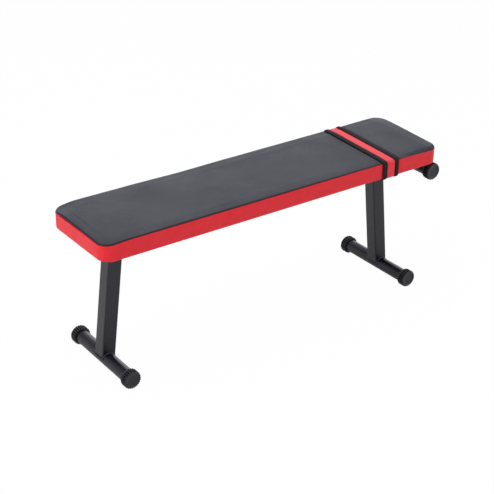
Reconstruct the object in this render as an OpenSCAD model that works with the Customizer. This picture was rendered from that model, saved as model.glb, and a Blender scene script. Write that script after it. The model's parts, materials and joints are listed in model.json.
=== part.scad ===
// Folding flat weight bench: a long upholstered pad on two steel rails, a leg under each end
// that folds inward on a clamped hinge, and a round bar under the far end to stand it up on.
// X runs along the bench, Y across it and Z up from the floor. The origin is on the floor,
// in the middle of the bench's overall length and width.

/* [Pad] */
// Length of the upholstered pad
pad_l = 1100; // [900:10:1300]
// Width of the pad
pad_w = 260; // [240:5:320]
// Thickness of the pad from its cover's underside to its top
pad_t = 55; // [48:1:80]
// Height of the pad's top above the floor
seat_h = 429; // [400:1:470]
// Radius of the pad's corners in plan
pad_corner_r = 31; // [28:1:60]
// Radius of the pad's upper edge
pad_top_r = 9; // [5:0.5:13]
// Radius of the pad's lower edge
pad_bottom_r = 6; // [4:0.5:10]
// Thickness of the vinyl cover
cover_t = 1.2; // [0.8:0.1:1.8]
// Depth of the seam between the black top and the red side below the pad's top
seam_drop = 9.5; // [8:0.5:16]
// Width of the cover's lap under the board
cover_lap = 25; // [12:1:30]
// Thickness of the plywood board inside the pad
board_t = 12; // [9:1:18]

/* [Band] */
// Distance from the middle of the band to the pad's far end
band_inset = 182; // [120:1:300]
// Width of the red middle strip
band_mid_w = 26; // [16:1:50]
// Width of each black edge strip
band_edge_w = 17; // [8:1:25]
// Height of the red strip above the cover
band_mid_rise = 1.5; // [1:0.5:2.5]
// Height of the black strips above the cover
band_edge_rise = 3; // [2.5:0.5:4]
// Width of the band's lap under the pad
band_lap = 20; // [10:1:22]

/* [Rails and straps] */
// Width of each rectangular rail tube
rail_w = 20; // [15:1:30]
// Height of each rail tube
rail_h = 25; // [20:1:26]
// Wall of the rail tubes
rail_wall = 1.5; // [1.2:0.1:2.5]
// Outer corner radius of the rail tubes
rail_corner_r = 2.6; // [2.6:0.1:4]
// Distance from the pad's near end to the rails' open ends
rail_inset = 45; // [30:1:50]
// Width of the cross straps that carry the pad
strap_w = 40; // [30:1:50]
// Thickness of the cross straps
strap_t = 4; // [3:0.5:6]
// Length of the cross straps
strap_l = 190; // [160:5:200]
// Distance from each leg's hinge to the middle of the strap next to it
strap_offset = 75; // [65:1:120]
// Distance from the end of a strap to its bolt
strap_bolt_inset = 15; // [13:1:25]

/* [Legs] */
// Width of the square leg tube
leg_w = 40; // [34:1:44]
// Wall of the leg tube
leg_wall = 2; // [1.5:0.1:3]
// Outer corner radius of the leg tube
leg_corner_r = 3.5; // [3.2:0.1:6]
// Outward lean of each leg from upright, in degrees
leg_lean = 6.5; // [4:0.5:10]
// Distance of the left foot tube's axis from the pad's near end
left_foot_inset = 63.5; // [50:0.5:90]
// Distance of the right foot tube's axis from the pad's far end
right_foot_inset = 90.5; // [70:0.5:110]
// Overall length of a foot with its caps
foot_l = 284; // [240:2:320]
// Length of the leg tube and its plug above the hinge
leg_head = 34; // [32:0.5:36]

/* [Round tubes and caps] */
// Diameter of the foot tubes and the end bar
tube_d = 38; // [32:1:40]
// Wall of the round tubes
tube_wall = 2; // [1.5:0.1:3]
// Distance from each end of the end bar to the pad's side
bar_inset = 8; // [2:0.5:30]
// Distance that the end bar's caps reach past the pad's far end
bar_reach = 20; // [5:1:30]
// Depth of the end bar's axis below the pad
bar_drop = 32; // [28:0.5:34]
// Diameter of a cap over its ribs
cap_d = 51; // [47:1:54]
// Length of a cap
cap_l = 22; // [16:1:30]
// Thickness of a cap's end wall
cap_end_t = 4; // [3:0.5:6]
// Length of the plain face that stands past the ribs at a cap's outer end
cap_rim_l = 1.5; // [1.5:0.5:4]
// Number of ribs round a cap
rib_count = 24; // [16:2:32]
// Height of a cap's ribs
rib_h = 2; // [0.8:0.1:2.4]

/* [Hinge] */
// Depth of the hinge axis below the pad
pivot_drop = 41; // [40:0.5:44]
// Diameter of the hinge bolt
bolt_d = 10; // [8:1:12]
// Radial running clearance of the leg's sleeve on the bolt
pin_clear = 0.05; // [0.02:0.01:0.1]
// Outside diameter of the leg's pivot sleeve
sleeve_d = 16; // [15:0.5:18]
// Thickness of the bracket's two side ears
ear_t = 4; // [3:0.5:5]
// Radius of the rounded lower end of an ear
ear_r = 14; // [13:0.5:16]
// Half length of an ear where it is welded to its rail
ear_half_l = 34; // [30:1:38]
// Thickness of the nylon washers between leg and ears
glide_t = 1.8; // [1:0.1:2.5]
// Gap between a nylon washer and its ear
glide_gap = 0.2; // [0.15:0.05:0.4]
// Thickness of the stop bar between the ears
stop_t = 6; // [5:0.5:8]
// Height of the stop bar's lower edge above the hinge, along the leg
stop_rise = 23; // [22.5:0.5:25]

/* [Clamp knob] */
// Diameter of the knob over its lobes
knob_d = 42; // [36:1:50]
// Number of lobes
knob_lobes = 6; // [5:1:8]
// Thickness of the lobed head
knob_head_t = 16; // [12:1:20]
// Diameter of the knob's hub
knob_hub_d = 20; // [18.5:0.5:21]
// Outside diameter of the brass insert in the hub
insert_d = 14; // [13.5:0.5:15]

/* [Hidden] */

$fn = 64;
cut = 1;                 // how far a cutting shape runs past what it cuts
weld = 0.5;              // how far a welded bar sinks into the plates beside it
seat_gap = 0.2;          // gap where a moving flat face comes to rest on a fixed one
hole_clear = 0.2;        // radial clearance of a bolt in a plain hole

// The pad, in the frame's X and Z
pad_x = -bar_reach / 2;
pad_near_x = pad_x - pad_l / 2;
pad_far_x = pad_x + pad_l / 2;
pad_z = seat_h - pad_t;
board_z = pad_z + cover_t;
board_top = board_z + board_t;
seam_z = seat_h - seam_drop;
band_x = pad_far_x - band_inset;
band_w = band_mid_w + 2 * band_edge_w;
band_bite = cover_t / 3; // how far the band presses into the cover

// Straps and rails, stacked under the board
strap_z = board_z - strap_t;
rail_z = strap_z - rail_h;
rail_x = pad_near_x + rail_inset;
rail_gap = leg_w + 2 * (glide_t + glide_gap + ear_t);
rail_y = (rail_gap + rail_w) / 2;
strap_corner_r = 6;

// Caps
cap_face_step = 0.3;     // the plain face's radius is this much under the ribs' roots
cap_chamfer = 1;         // bevel of the face's edge

// End bar
bar_x = pad_far_x + bar_reach - cap_d / 2;
bar_z = pad_z - bar_drop;
bar_l = pad_w - 2 * bar_inset; // with its caps

// Legs: the hinge lies on each leg's centre line, above its foot tube
foot_z = cap_d / 2;
pivot_z = pad_z - pivot_drop;
left_foot_x = pad_near_x + left_foot_inset;
right_foot_x = pad_far_x - right_foot_inset;
pivot_in = (pivot_z - foot_z) * tan(leg_lean);
left_pivot_x = left_foot_x + pivot_in;
right_pivot_x = right_foot_x - pivot_in;
mid_strap_x = (left_pivot_x + right_pivot_x) / 2;
leg_len = (pivot_z - foot_z) / cos(leg_lean);
ear_y = leg_w / 2 + glide_t + glide_gap;
leg_foot_end = 3;        // how far above the foot's axis the coped leg tube ends
glide_d = 2 * ear_r - 4; // outside diameter of a nylon washer
glide_hole_clear = 0.3;  // radial clearance of a nylon washer on the bolt
plug_t = 2;              // flange of the plug in the leg's upper end
plug_depth = 12;
stop_over = 4;           // how far the stop bar reaches above the leg's head

// Hinge bolt, clamp washer and knob, outward along +Y from the back ear
bolt_head_d = 2 * bolt_d;
bolt_head_t = bolt_d / 2;
clamp_washer_t = 2;
clamp_washer_d = 2 * bolt_d + 1;
knob_y = ear_y + ear_t + clamp_washer_t + seat_gap;
knob_hub_l = rail_w + 2;
insert_l = knob_hub_l - 2;
bolt_end_y = knob_y + knob_hub_l + 3;
knob_bore_end = bolt_end_y + 2 - knob_y;

// Pad fasteners
screw_d = 8;
screw_washer_t = 1.6;
screw_washer_d = 20;
screw_head_t = 4.5;
screw_head_d = 14;
screw_head_taper = 4;
screw_socket_d = 5.8;
screw_end_gap = 1;       // between the screw's tip and the board's top
nut_barrel_d = 10;
nut_flange_d = 20;
nut_flange_t = 1.6;

// ---------- shared shapes ----------

module rounded_rect(size, r) {
  square([size[0] - 2 * r, size[1]], center = true);
  square([size[0], size[1] - 2 * r], center = true);
  for (sx = [-1, 1], sy = [-1, 1])
    translate([sx * (size[0] / 2 - r), sy * (size[1] / 2 - r)]) circle(r);
}

module tube_section(size, r, wall) {
  difference() {
    rounded_rect(size, r);
    rounded_rect([size[0] - 2 * wall, size[1] - 2 * wall], r - wall);
  }
}

// A cylinder along +Y that starts at y0
module rod_y(y0, length, d) {
  translate([0, y0, 0]) rotate([-90, 0, 0]) cylinder(h = length, d = d);
}

module round_tube_y(length) {
  difference() {
    rod_y(-length / 2, length, tube_d);
    rod_y(-length / 2 - cut, length + 2 * cut, tube_d - 2 * tube_wall);
  }
}

// Half of the slab's cross-section: from the middle line out to x = r
module slab_edge_profile(r, t, top_r, bottom_r) {
  square([r - max(top_r, bottom_r), t]);
  translate([0, bottom_r]) square([r, t - top_r - bottom_r]);
  translate([r - top_r, t - top_r]) circle(top_r);
  translate([r - bottom_r, bottom_r]) circle(bottom_r);
}

// A cushion block on z = 0 with round corners in plan and round upper and lower edges
module slab(l, w, corner_r, t, top_r, bottom_r) {
  run_l = l - 2 * corner_r;
  run_w = w - 2 * corner_r;
  translate([-run_l / 2, -w / 2 + corner_r / 2, 0]) cube([run_l, w - corner_r, t]);
  translate([-l / 2 + corner_r / 2, -run_w / 2, 0]) cube([l - corner_r, run_w, t]);
  for (s = [0, 1]) rotate([0, 0, 180 * s]) {
    translate([-run_l / 2, run_w / 2, 0]) rotate([90, 0, 90])
      linear_extrude(run_l) slab_edge_profile(corner_r, t, top_r, bottom_r);
    translate([run_l / 2, run_w / 2, 0]) rotate([90, 0, 0])
      linear_extrude(run_w) slab_edge_profile(corner_r, t, top_r, bottom_r);
    for (m = [0, 1]) mirror([m, 0, 0]) translate([run_l / 2, run_w / 2, 0])
      rotate_extrude(angle = 90) slab_edge_profile(corner_r, t, top_r, bottom_r);
  }
}

// The pad's block, moved in from the cover's outer face by inset on every side
module pad_block(inset) {
  translate([pad_x, 0, pad_z + inset])
    slab(pad_l - 2 * inset, pad_w - 2 * inset, pad_corner_r - inset, pad_t - 2 * inset,
         pad_top_r - inset, pad_bottom_r - inset);
}

module between_heights(z0, z1) {
  translate([pad_near_x - cut, -pad_w / 2 - cut, z0])
    cube([pad_l + 2 * cut, pad_w + 2 * cut, z1 - z0]);
}

// Children at the left hinge; at the right hinge they are mirrored, so -X is outward at both
module at_left_hinge() {
  translate([left_pivot_x, 0, pivot_z]) children();
}

module at_right_hinge() {
  translate([right_pivot_x, 0, pivot_z]) mirror([1, 0, 0]) children();
}

// ---------- pad ----------

module screw_places() {
  for (x = [left_pivot_x + strap_offset, mid_strap_x, right_pivot_x - strap_offset], s = [-1, 1])
    translate([x, s * (strap_l / 2 - strap_bolt_inset), 0]) children();
}

module pad_board() {
  color("burlywood") difference() {
    intersection() {
      pad_block(cover_t);
      between_heights(board_z - cut, board_top);
    }
    screw_places() {
      translate([0, 0, board_z - cut]) cylinder(h = board_t + 2 * cut, d = nut_barrel_d);
      translate([0, 0, board_top - nut_flange_t]) cylinder(h = nut_flange_t + cut, d = nut_flange_d);
    }
  }
}

module pad_foam() {
  color("khaki") intersection() {
    pad_block(cover_t);
    between_heights(board_top, seat_h + cut);
  }
}

module cover_shell() {
  difference() {
    pad_block(0);
    pad_block(cover_t);
  }
}

module top_cover() {
  color([0.13, 0.13, 0.14]) difference() {
    intersection() {
      cover_shell();
      between_heights(seam_z, seat_h + cut);
    }
    band_groove();
  }
}

module side_cover() {
  window = [pad_l - 2 * cover_lap, pad_w - 2 * cover_lap];
  color("crimson") difference() {
    intersection() {
      cover_shell();
      between_heights(pad_z - cut, seam_z);
    }
    translate([pad_x, 0, pad_z - cut]) linear_extrude(cover_t + 2 * cut)
      rounded_rect(window, pad_corner_r - cover_lap / 2);
    band_groove();
  }
}

// ---------- band ----------

// Outline of the pad's cross-section in Y and Z, grown outward by rise
module pad_section(rise) {
  w = pad_w + 2 * rise;
  z0 = pad_z - rise;
  z1 = seat_h + rise;
  top_r = pad_top_r + rise;
  bottom_r = pad_bottom_r + rise;
  translate([-w / 2, z0 + bottom_r]) square([w, z1 - z0 - top_r - bottom_r]);
  translate([-w / 2 + top_r, z0 + bottom_r]) square([w - 2 * top_r, z1 - z0 - bottom_r]);
  translate([-w / 2 + bottom_r, z0]) square([w - 2 * bottom_r, z1 - z0 - top_r]);
  for (s = [-1, 1]) {
    translate([s * (w / 2 - top_r), z1 - top_r]) circle(top_r);
    translate([s * (w / 2 - bottom_r), z0 + bottom_r]) circle(bottom_r);
  }
}

// A strip round the pad that presses into the cover, open under the middle of the board
module wrapped_strip(x0, width, rise) {
  open_w = pad_w - 2 * band_lap;
  translate([x0, 0, 0]) rotate([90, 0, 90]) linear_extrude(width) difference() {
    pad_section(rise);
    pad_section(-band_bite);
    translate([-open_w / 2, pad_z - rise - cut]) square([open_w, rise + 3 * cut]);
  }
}

module band_groove() wrapped_strip(band_x - band_w / 2, band_w, cut);

module band_middle() {
  color("red") wrapped_strip(band_x - band_mid_w / 2, band_mid_w, band_mid_rise);
}

module band_edge_near_end() {
  color([0.1, 0.1, 0.11]) wrapped_strip(band_x - band_w / 2, band_edge_w, band_edge_rise);
}

module band_edge_far_end() {
  color([0.1, 0.1, 0.11]) wrapped_strip(band_x + band_mid_w / 2, band_edge_w, band_edge_rise);
}

// ---------- frame ----------

// A rail, with its far end coped over the end bar
module rail(side) {
  color([0.2, 0.2, 0.21]) difference() {
    translate([rail_x, side * rail_y, rail_z + rail_h / 2]) rotate([90, 0, 90])
      linear_extrude(bar_x - rail_x) tube_section([rail_w, rail_h], rail_corner_r, rail_wall);
    translate([bar_x, 0, bar_z]) rod_y(-bar_l / 2, bar_l, tube_d);
  }
}

module front_rail() rail(-1);

module back_rail() rail(1);

module rail_plugs() {
  inner = [rail_w - 2 * rail_wall, rail_h - 2 * rail_wall];
  color([0.08, 0.08, 0.08]) for (side = [-1, 1])
    translate([rail_x, side * rail_y, rail_z + rail_h / 2]) rotate([90, 0, 90]) {
      translate([0, 0, -plug_t]) linear_extrude(plug_t) rounded_rect([rail_w, rail_h], rail_corner_r);
      linear_extrude(plug_depth) rounded_rect(inner, rail_corner_r - rail_wall);
    }
}

module strap(x) {
  color([0.2, 0.2, 0.21]) difference() {
    translate([x, 0, strap_z]) linear_extrude(strap_t) rounded_rect([strap_w, strap_l], strap_corner_r);
    screw_places() translate([0, 0, strap_z - cut])
      cylinder(h = strap_t + 2 * cut, d = screw_d + 2 * hole_clear);
  }
}

module left_strap() strap(left_pivot_x + strap_offset);

module middle_strap() strap(mid_strap_x);

module right_strap() strap(right_pivot_x - strap_offset);

module pad_bolts() {
  under_head = strap_z - screw_washer_t;
  color("silver") screw_places() difference() {
    union() {
      translate([0, 0, under_head]) cylinder(h = board_top - screw_end_gap - under_head, d = screw_d);
      translate([0, 0, under_head - screw_head_t])
        cylinder(h = screw_head_t, d1 = screw_head_d - screw_head_taper, d2 = screw_head_d);
    }
    translate([0, 0, under_head - screw_head_t - cut])
      cylinder(h = screw_head_t / 2 + cut, d = screw_socket_d, $fn = 6);
  }
}

module pad_washers() {
  color("silver") screw_places() translate([0, 0, strap_z - screw_washer_t]) difference() {
    cylinder(h = screw_washer_t, d = screw_washer_d);
    translate([0, 0, -cut]) cylinder(h = screw_washer_t + 2 * cut, d = screw_d + 2 * hole_clear);
  }
}

module tee_nuts() {
  color("goldenrod") screw_places() difference() {
    union() {
      translate([0, 0, board_z]) cylinder(h = board_t - nut_flange_t, d = nut_barrel_d);
      translate([0, 0, board_top - nut_flange_t]) cylinder(h = nut_flange_t, d = nut_flange_d);
    }
    translate([0, 0, board_z - cut]) cylinder(h = board_t + 2 * cut, d = screw_d);
  }
}

// ---------- round tubes and ribbed caps ----------

// A cap on the +Y end of a tube of the given overall length, with a rib straight down
module ribbed_cap(length) {
  root_r = cap_d / 2 - rib_h;
  face_r = root_r - cap_face_step;
  ribbed_l = cap_l - cap_rim_l;
  color([0.07, 0.07, 0.07]) translate([0, length / 2 - cap_l, 0]) rotate([-90, 0, 0]) difference() {
    union() {
      linear_extrude(ribbed_l) {
        circle(root_r);
        for (i = [0 : rib_count - 1]) rotate(90 + i * 360 / rib_count)
          translate([root_r, 0]) circle(rib_h, $fn = 16);
      }
      translate([0, 0, ribbed_l - weld])
        cylinder(h = cap_rim_l - cap_chamfer + weld, r = face_r);
      translate([0, 0, cap_l - cap_chamfer])
        cylinder(h = cap_chamfer, r1 = face_r, r2 = face_r - cap_chamfer);
    }
    translate([0, 0, -cut]) cylinder(h = cap_l - cap_end_t + cut, d = tube_d);
  }
}

module end_bar() {
  color([0.2, 0.2, 0.21]) translate([bar_x, 0, bar_z]) round_tube_y(bar_l - 2 * cap_end_t);
}

module end_bar_back_cap() translate([bar_x, 0, bar_z]) ribbed_cap(bar_l);

module end_bar_front_cap() mirror([0, 1, 0]) end_bar_back_cap();

// ---------- hinge, fixed part ----------

// Where a line from outside point p touches a circle of radius r round the origin
function tangent_point(p, r, side) =
  let (d2 = p[0] * p[0] + p[1] * p[1], k = side * r * sqrt(d2 - r * r) / d2)
  [p[0] * r * r / d2 - p[1] * k, p[1] * r * r / d2 + p[0] * k];

// An ear in X and Z round the hinge: straight flanks that run into its round lower end
module ear_profile() {
  top = strap_z - pivot_z;
  shoulder = rail_z - pivot_z;
  left_touch = tangent_point([-ear_half_l, shoulder], ear_r, 1);
  right_touch = [-left_touch[0], left_touch[1]];
  circle(ear_r);
  polygon([[-ear_half_l, top], [-ear_half_l, shoulder], left_touch,
           right_touch, [ear_half_l, shoulder], [ear_half_l, top]]);
}

// Two ears and, between them, the bar that stops the leg's head when the leg is out
module hinge_bracket() {
  stop_top = leg_head + stop_over;
  color([0.2, 0.2, 0.21]) {
    difference() {
      for (side = [-1, 1]) translate([0, side * (ear_y + ear_t / 2), 0]) rotate([90, 0, 0])
        translate([0, 0, -ear_t / 2]) linear_extrude(ear_t) ear_profile();
      rod_y(0, ear_y + ear_t + cut, bolt_d + 2 * hole_clear);
      translate([0, -ear_y - ear_t / 2, 0])
        cube([bolt_d + 2 * hole_clear, ear_t + 2 * cut, bolt_d + 2 * hole_clear], center = true);
    }
    rotate([0, leg_lean, 0]) translate([leg_w / 2 + seat_gap, -ear_y - weld, stop_rise])
      cube([stop_t, 2 * (ear_y + weld), stop_top - stop_rise]);
  }
}

module left_hinge_bracket() at_left_hinge() hinge_bracket();

module right_hinge_bracket() at_right_hinge() hinge_bracket();

// A carriage bolt whose square neck sits in the front ear
module hinge_bolt() {
  head_y = -ear_y - ear_t;
  dome_r = (pow(bolt_head_d / 2, 2) + pow(bolt_head_t, 2)) / (2 * bolt_head_t);
  color("silver") {
    rod_y(head_y + ear_t, bolt_end_y - head_y - ear_t, bolt_d);
    translate([-bolt_d / 2, head_y, -bolt_d / 2]) cube([bolt_d, ear_t, bolt_d]);
    intersection() {
      rod_y(head_y - bolt_head_t, bolt_head_t, bolt_head_d);
      translate([0, head_y - bolt_head_t + dome_r, 0]) rotate([90, 0, 0]) sphere(dome_r);
    }
  }
}

module left_hinge_bolt() at_left_hinge() hinge_bolt();

module right_hinge_bolt() at_right_hinge() hinge_bolt();

module clamp_washer() {
  color("silver") difference() {
    rod_y(ear_y + ear_t, clamp_washer_t, clamp_washer_d);
    rod_y(ear_y, clamp_washer_t + ear_t + cut, bolt_d + 2 * hole_clear);
  }
}

module left_clamp_washer() at_left_hinge() clamp_washer();

module right_clamp_washer() at_right_hinge() clamp_washer();

// ---------- clamp knob ----------

// Lobed head on a hub long enough to bring it out past the rail
module clamp_knob() {
  lobe_r = knob_d / 7;
  edge_r = 3;
  color([0.08, 0.08, 0.08]) translate([0, knob_y, 0]) rotate([-90, 0, 0]) difference() {
    union() {
      cylinder(h = knob_hub_l + cut, d = knob_hub_d);
      intersection() {
        translate([0, 0, knob_hub_l]) linear_extrude(knob_head_t) {
          circle(d = knob_d - 2 * lobe_r);
          for (i = [0 : knob_lobes - 1]) rotate(i * 360 / knob_lobes)
            translate([knob_d / 2 - lobe_r, 0]) circle(lobe_r, $fn = 32);
        }
        translate([0, 0, knob_hub_l]) rotate_extrude()
          slab_edge_profile(knob_d / 2, knob_head_t, edge_r, 1);
      }
    }
    translate([0, 0, -cut]) cylinder(h = insert_l + cut, d = insert_d);
    cylinder(h = knob_bore_end, d = bolt_d + 1);
  }
}

module knob_insert() {
  color("goldenrod") difference() {
    rod_y(knob_y, insert_l, insert_d);
    rod_y(knob_y - cut, insert_l + 2 * cut, bolt_d + 2 * pin_clear);
  }
}

module left_clamp_knob() at_left_hinge() clamp_knob();

module right_clamp_knob() at_right_hinge() clamp_knob();

module left_knob_insert() at_left_hinge() knob_insert();

module right_knob_insert() at_right_hinge() knob_insert();

// ---------- legs, from the hinge down along their own leaning Z ----------

module along_leg() rotate([0, leg_lean, 0]) children();

// Children at the foot's axis, level with the floor again
module at_foot() along_leg() translate([0, 0, -leg_len]) rotate([0, -leg_lean, 0]) children();

module leg_tube() {
  tube_l = leg_len - leg_foot_end + leg_head - plug_t;
  color([0.2, 0.2, 0.21]) difference() {
    along_leg() translate([0, 0, leg_foot_end - leg_len])
      linear_extrude(tube_l) tube_section([leg_w, leg_w], leg_corner_r, leg_wall);
    at_foot() rod_y(-leg_w, 2 * leg_w, tube_d);
    rod_y(-leg_w, 2 * leg_w, sleeve_d);
  }
}

module leg_plug() {
  inner = leg_w - 2 * leg_wall;
  skirt_t = 1.2;
  color([0.08, 0.08, 0.08]) along_leg() translate([0, 0, leg_head - plug_t]) {
    linear_extrude(plug_t) rounded_rect([leg_w, leg_w], leg_corner_r);
    translate([0, 0, -plug_depth]) linear_extrude(plug_depth)
      tube_section([inner, inner], leg_corner_r - leg_wall, skirt_t);
  }
}

module pivot_sleeve() {
  color("silver") difference() {
    rod_y(-leg_w / 2, leg_w, sleeve_d);
    rod_y(-leg_w / 2 - cut, leg_w + 2 * cut, bolt_d + 2 * pin_clear);
  }
}

module glide_washers() {
  color("white") for (side = [0, 1]) mirror([0, side, 0]) difference() {
    rod_y(leg_w / 2, glide_t, glide_d);
    rod_y(leg_w / 2 - cut, glide_t + 2 * cut, bolt_d + 2 * glide_hole_clear);
  }
}

module foot_tube() {
  color([0.2, 0.2, 0.21]) at_foot() round_tube_y(foot_l - 2 * cap_end_t);
}

module back_foot_cap() at_foot() ribbed_cap(foot_l);

module front_foot_cap() at_foot() mirror([0, 1, 0]) ribbed_cap(foot_l);

module left_leg_tube() at_left_hinge() leg_tube();

module right_leg_tube() at_right_hinge() leg_tube();

module left_foot_tube() at_left_hinge() foot_tube();

module right_foot_tube() at_right_hinge() foot_tube();

module left_front_foot_cap() at_left_hinge() front_foot_cap();

module left_back_foot_cap() at_left_hinge() back_foot_cap();

module right_front_foot_cap() at_right_hinge() front_foot_cap();

module right_back_foot_cap() at_right_hinge() back_foot_cap();

module left_pivot_sleeve() at_left_hinge() pivot_sleeve();

module right_pivot_sleeve() at_right_hinge() pivot_sleeve();

module left_leg_plug() at_left_hinge() leg_plug();

module right_leg_plug() at_right_hinge() leg_plug();

module left_glide_washers() at_left_hinge() glide_washers();

module right_glide_washers() at_right_hinge() glide_washers();

// ---------- nodes ----------

pad_board();
pad_foam();
top_cover();
side_cover();
band_middle();
band_edge_near_end();
band_edge_far_end();
front_rail();
back_rail();
rail_plugs();
left_strap();
middle_strap();
right_strap();
pad_bolts();
pad_washers();
tee_nuts();
end_bar();
end_bar_front_cap();
end_bar_back_cap();
left_hinge_bracket();
right_hinge_bracket();
left_hinge_bolt();
right_hinge_bolt();
left_clamp_washer();
right_clamp_washer();
left_clamp_knob();
right_clamp_knob();
left_knob_insert();
right_knob_insert();
left_leg_tube();
right_leg_tube();
left_foot_tube();
right_foot_tube();
left_front_foot_cap();
left_back_foot_cap();
right_front_foot_cap();
right_back_foot_cap();
left_pivot_sleeve();
right_pivot_sleeve();
left_leg_plug();
right_leg_plug();
left_glide_washers();
right_glide_washers();
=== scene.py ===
"""Looks for the folding flat weight bench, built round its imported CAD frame. Lengths are in
millimetres until a mesh is made; X runs along the bench, Y across it, Z up from the floor."""
import json
import math

import bmesh
import bpy
import numpy as np
from mathutils import Matrix, Vector, noise
from mathutils.bvhtree import BVHTree


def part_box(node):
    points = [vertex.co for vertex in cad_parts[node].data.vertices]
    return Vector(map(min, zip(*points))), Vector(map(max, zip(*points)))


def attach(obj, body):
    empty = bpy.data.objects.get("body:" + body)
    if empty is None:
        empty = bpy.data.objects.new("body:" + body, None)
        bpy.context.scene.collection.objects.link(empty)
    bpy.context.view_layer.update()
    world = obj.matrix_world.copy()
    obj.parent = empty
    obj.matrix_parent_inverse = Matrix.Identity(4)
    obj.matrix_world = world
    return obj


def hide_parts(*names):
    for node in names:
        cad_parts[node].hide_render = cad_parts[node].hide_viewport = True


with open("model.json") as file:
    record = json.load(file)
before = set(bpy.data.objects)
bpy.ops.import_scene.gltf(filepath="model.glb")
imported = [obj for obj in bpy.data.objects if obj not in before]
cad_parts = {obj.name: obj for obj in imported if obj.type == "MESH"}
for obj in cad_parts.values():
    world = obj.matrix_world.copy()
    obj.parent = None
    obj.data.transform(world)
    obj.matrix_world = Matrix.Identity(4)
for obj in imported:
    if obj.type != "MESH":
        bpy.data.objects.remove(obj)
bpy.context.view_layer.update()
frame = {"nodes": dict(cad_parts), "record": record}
scene = bpy.context.scene
MM = 0.001


def box(node):
    """Lowest and highest corner of a CAD node, in millimetres."""
    return [np.array(corner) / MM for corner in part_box(node)]


def new_object(name, data):
    made = bpy.data.objects.new(name, data)
    scene.collection.objects.link(made)
    return made


# ---------- camera ----------

IMAGE_PX = 494
FOCAL_PX = 1233.11
SENSOR_MM = 36
CAMERA_AT = (-1.82246, -2.43388, 1.77504)    # metres
YAW, PITCH, ROLL = (math.radians(a) for a in (36.2425, 27.3491, 0.8115))


def make_camera():
    """Camera at the photograph's place: turned from +Y toward +X, tipped down, slightly rolled."""
    ahead = Vector((math.sin(YAW) * math.cos(PITCH), math.cos(YAW) * math.cos(PITCH),
                    -math.sin(PITCH)))
    level = Vector((math.cos(YAW), -math.sin(YAW), 0))
    above = level.cross(ahead)
    right = level * math.cos(ROLL) + above * math.sin(ROLL)
    up = above * math.cos(ROLL) - level * math.sin(ROLL)
    data = bpy.data.cameras.new("camera")
    data.sensor_width = SENSOR_MM
    data.lens = SENSOR_MM * FOCAL_PX / IMAGE_PX
    scene.camera = new_object("camera", data)
    turn = Matrix((right, up, -ahead)).transposed().to_4x4()
    scene.camera.matrix_world = Matrix.Translation(CAMERA_AT) @ turn


make_camera()
scene.view_settings.view_transform = "Standard"


# ---------- node materials ----------

USUAL = (0.3, 0.7)       # where most of a noise's values lie


class Nodes:
    """A short way to write a node tree. Scales are per metre of the object's own coordinates."""

    def __init__(self, tree):
        self.tree = tree
        self.tree.nodes.clear()

    def add(self, kind, inputs=None, **settings):
        node = self.tree.nodes.new(kind)
        for key, value in settings.items():
            setattr(node, key, value)
        for key, value in (inputs or {}).items():
            socket = node.inputs[key]
            if isinstance(value, bpy.types.NodeSocket):
                self.tree.links.new(value, socket)
            else:
                socket.default_value = value
        return node

    def math(self, how, a, b=0.0):
        return self.add("ShaderNodeMath", {0: a, 1: b}, operation=how).outputs[0]

    def coords(self, scale=(1, 1, 1)):
        place = self.add("ShaderNodeTexCoord").outputs["Object"]
        return self.add("ShaderNodeMapping", {"Vector": place, "Scale": scale}).outputs[0]

    def noise(self, scale, detail=2.0, rough=0.5, vector=None):
        inputs = {"Vector": vector or self.coords(), "Scale": scale, "Detail": detail,
                  "Roughness": rough}
        return self.add("ShaderNodeTexNoise", inputs).outputs["Fac"]

    def cell_edges(self, scale, vector):
        """Distance from the nearest border between the cells of a Voronoi pattern."""
        inputs = {"Vector": vector, "Scale": scale}
        return self.add("ShaderNodeTexVoronoi", inputs,
                        feature="DISTANCE_TO_EDGE").outputs["Distance"]

    def span(self, value, low, high, from_low=0.0, from_high=1.0, how="LINEAR"):
        """Carries a value's range over to another range, and keeps it there."""
        inputs = {"Value": value, "From Min": from_low, "From Max": from_high,
                  "To Min": low, "To Max": high}
        return self.add("ShaderNodeMapRange", inputs, interpolation_type=how).outputs[0]

    def blend(self, fac, dark, light):
        return self.add("ShaderNodeMix", {"Factor": fac, "A": (*dark, 1), "B": (*light, 1)},
                        data_type="RGBA").outputs["Result"]

    def shades(self, noise, dark, light):
        """A colour that follows a noise from one shade to the other."""
        return self.blend(self.span(noise, 0, 1, *USUAL), dark, light)

    def around(self, noise, middle, swing):
        """A value that follows a noise, by the swing either way of its middle."""
        return self.span(noise, middle - swing, middle + swing, *USUAL)

    def bump(self, height, depth):
        inputs = {"Height": height, "Distance": depth, "Strength": 1.0}
        return self.add("ShaderNodeBump", inputs).outputs["Normal"]

    def finish(self, **sockets):
        inputs = {name.replace("_", " "): value for name, value in sockets.items()}
        shader = self.add("ShaderNodeBsdfPrincipled", inputs)
        self.add("ShaderNodeOutputMaterial", {"Surface": shader.outputs[0]})


def new_material(name):
    material = bpy.data.materials.new(name)
    material.use_nodes = True
    return material, Nodes(material.node_tree)


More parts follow.
